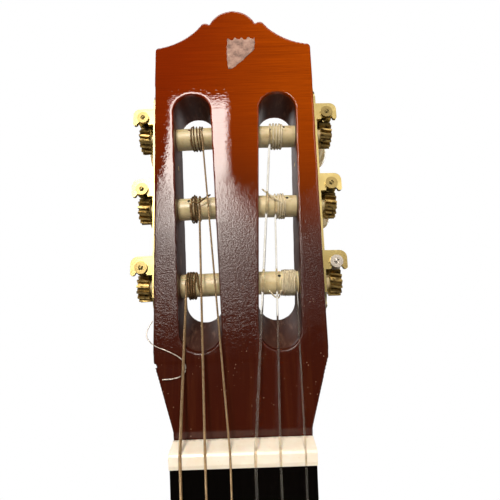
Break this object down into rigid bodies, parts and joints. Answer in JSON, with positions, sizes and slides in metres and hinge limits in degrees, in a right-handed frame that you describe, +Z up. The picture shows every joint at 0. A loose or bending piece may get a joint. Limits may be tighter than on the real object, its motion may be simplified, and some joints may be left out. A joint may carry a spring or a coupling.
{
  "type": "classical guitar",
  "caption": "Classical guitar with a slotted head, worm-geared tuners that turn, tied bridge, arched back and braced hollow body, strung and hung upright.",
  "frame": {"origin": "centre of the neck's upper face at the nut's front edge, between the arms of a wall hanger", "axes": "+Z up the neck to the head, +Y from the soundboard to the back, +X to the treble strings"},
  "size_m": [0.368, 0.1172, 1.0017],
  "materials": {
    "cedar_top": "gloss lacquer over straight-grained cedar",
    "rosette_mosaic": "inlaid rings of dyed wood, lacquered",
    "rosewood": "gloss lacquer over dark brown rosewood",
    "binding_wood": "gloss lacquer, dark",
    "bare_mahogany": "bare sanded",
    "bare_spruce": "bare sanded",
    "dark_rosewood": "oiled",
    "bone": "cream, grimy in the slots",
    "neck_lacquer": "orange-brown to dark red-brown lacquer, glossy with fine orange peel",
    "ebony": "satin, worn",
    "nickel_silver": "polished, worn",
    "gold_plate": "thin gold plating, tarnished in corners",
    "gold_screw": "plated",
    "dark_brass": "dull, greasy between the teeth",
    "torn_paper": "torn, grubby",
    "silvery_wire": "bare wrap wire",
    "wound_bass": "silver-plated wrap worn to bronze",
    "clear_nylon": "translucent monofilament",
    "ivory_plastic": "cream",
    "pearl_plastic": "pearloid"
  },
  "bodies": {
    "guitar": {"soundboard": "cedar_top", "rosette": "rosette_mosaic", "back_plate": "rosewood", "bindings": "binding_wood", "side_bass": "rosewood", "side_treble": "rosewood", "neck_block": "bare_mahogany", "tail_block": "bare_mahogany", "linings": "bare_spruce", "soundboard_braces": "bare_spruce", "back_braces": "bare_spruce", "bridge": "dark_rosewood", "saddle": "bone", "neck": "neck_lacquer", "headstock": "neck_lacquer", "heel_cap": "dark_rosewood", "fingerboard": "ebony", "frets": "nickel_silver", "nut": "bone", "tuner_plate_bass": "gold_plate", "tuner_plate_treble": "gold_plate", "plate_screws": "gold_screw", "label_remnant": "torn_paper", "loose_wire": "silvery_wire", "string_e6": "wound_bass", "string_a5": "wound_bass", "string_d4": "wound_bass", "string_g3": "clear_nylon", "string_b2": "clear_nylon", "string_e1": "clear_nylon"},
    "roller_set_e6": {"roller_e6": "ivory_plastic", "gear_e6": "dark_brass", "winding_e6": "wound_bass"},
    "button_set_e6": {"worm_shaft_e6": "gold_plate", "button_e6": "pearl_plastic"},
    "roller_set_a5": {"roller_a5": "ivory_plastic", "gear_a5": "dark_brass", "winding_a5": "wound_bass"},
    "button_set_a5": {"worm_shaft_a5": "gold_plate", "button_a5": "pearl_plastic"},
    "roller_set_d4": {"roller_d4": "ivory_plastic", "gear_d4": "dark_brass", "winding_d4": "wound_bass"},
    "button_set_d4": {"worm_shaft_d4": "gold_plate", "button_d4": "pearl_plastic"},
    "roller_set_g3": {"roller_g3": "ivory_plastic", "gear_g3": "dark_brass", "winding_g3": "clear_nylon"},
    "button_set_g3": {"worm_shaft_g3": "gold_plate", "button_g3": "pearl_plastic"},
    "roller_set_b2": {"roller_b2": "ivory_plastic", "gear_b2": "dark_brass", "winding_b2": "clear_nylon"},
    "button_set_b2": {"worm_shaft_b2": "gold_plate", "button_b2": "pearl_plastic"},
    "roller_set_e1": {"roller_e1": "ivory_plastic", "gear_e1": "dark_brass", "winding_e1": "clear_nylon"},
    "button_set_e1": {"worm_shaft_e1": "gold_plate", "button_e1": "pearl_plastic"}
  },
  "joints": [
    {"name": "turn_button_e6", "type": "hinge", "parent": "guitar", "child": "button_set_e6", "pos_m": [-0.04096, 0.027, 0.06651], "axis": [0, 0.967, -0.2548], "continuous": true},
    {"name": "turn_roller_e6", "type": "hinge", "parent": "guitar", "child": "roller_set_e6", "pos_m": [-0.03471, 0.02504, 0.05908], "axis": [0.9998, 0.0048, 0.0183], "continuous": true},
    {"name": "turn_button_a5", "type": "hinge", "parent": "guitar", "child": "button_set_a5", "pos_m": [-0.04162, 0.03591, 0.10036], "axis": [0, 0.967, -0.2548], "continuous": true},
    {"name": "turn_roller_a5", "type": "hinge", "parent": "guitar", "child": "roller_set_a5", "pos_m": [-0.03537, 0.03396, 0.09293], "axis": [0.9998, 0.0048, 0.0183], "continuous": true},
    {"name": "turn_button_d4", "type": "hinge", "parent": "guitar", "child": "button_set_d4", "pos_m": [-0.04228, 0.04483, 0.1342], "axis": [0, 0.967, -0.2548], "continuous": true},
    {"name": "turn_roller_d4", "type": "hinge", "parent": "guitar", "child": "roller_set_d4", "pos_m": [-0.03603, 0.04287, 0.12677], "axis": [0.9998, 0.0048, 0.0183], "continuous": true},
    {"name": "turn_button_g3", "type": "hinge", "parent": "guitar", "child": "button_set_g3", "pos_m": [0.04228, 0.04483, 0.1342], "axis": [0, 0.967, -0.2548], "continuous": true},
    {"name": "turn_roller_g3", "type": "hinge", "parent": "guitar", "child": "roller_set_g3", "pos_m": [0.03603, 0.04287, 0.12677], "axis": [0.9998, -0.0048, -0.0183], "continuous": true},
    {"name": "turn_button_b2", "type": "hinge", "parent": "guitar", "child": "button_set_b2", "pos_m": [0.04162, 0.03591, 0.10036], "axis": [0, 0.967, -0.2548], "continuous": true},
    {"name": "turn_roller_b2", "type": "hinge", "parent": "guitar", "child": "roller_set_b2", "pos_m": [0.03537, 0.03396, 0.09293], "axis": [0.9998, -0.0048, -0.0183], "continuous": true},
    {"name": "turn_button_e1", "type": "hinge", "parent": "guitar", "child": "button_set_e1", "pos_m": [0.04096, 0.027, 0.06651], "axis": [0, 0.967, -0.2548], "continuous": true},
    {"name": "turn_roller_e1", "type": "hinge", "parent": "guitar", "child": "roller_set_e1", "pos_m": [0.03471, 0.02504, 0.05908], "axis": [0.9998, -0.0048, -0.0183], "continuous": true}
  ],
  "couplings": [
    {"joint": "turn_roller_e6", "follows": "turn_button_e6", "ratio": 0.071429},
    {"joint": "turn_roller_a5", "follows": "turn_button_a5", "ratio": 0.071429},
    {"joint": "turn_roller_d4", "follows": "turn_button_d4", "ratio": 0.071429},
    {"joint": "turn_roller_g3", "follows": "turn_button_g3", "ratio": 0.071429},
    {"joint": "turn_roller_b2", "follows": "turn_button_b2", "ratio": 0.071429},
    {"joint": "turn_roller_e1", "follows": "turn_button_e1", "ratio": 0.071429}
  ]
}
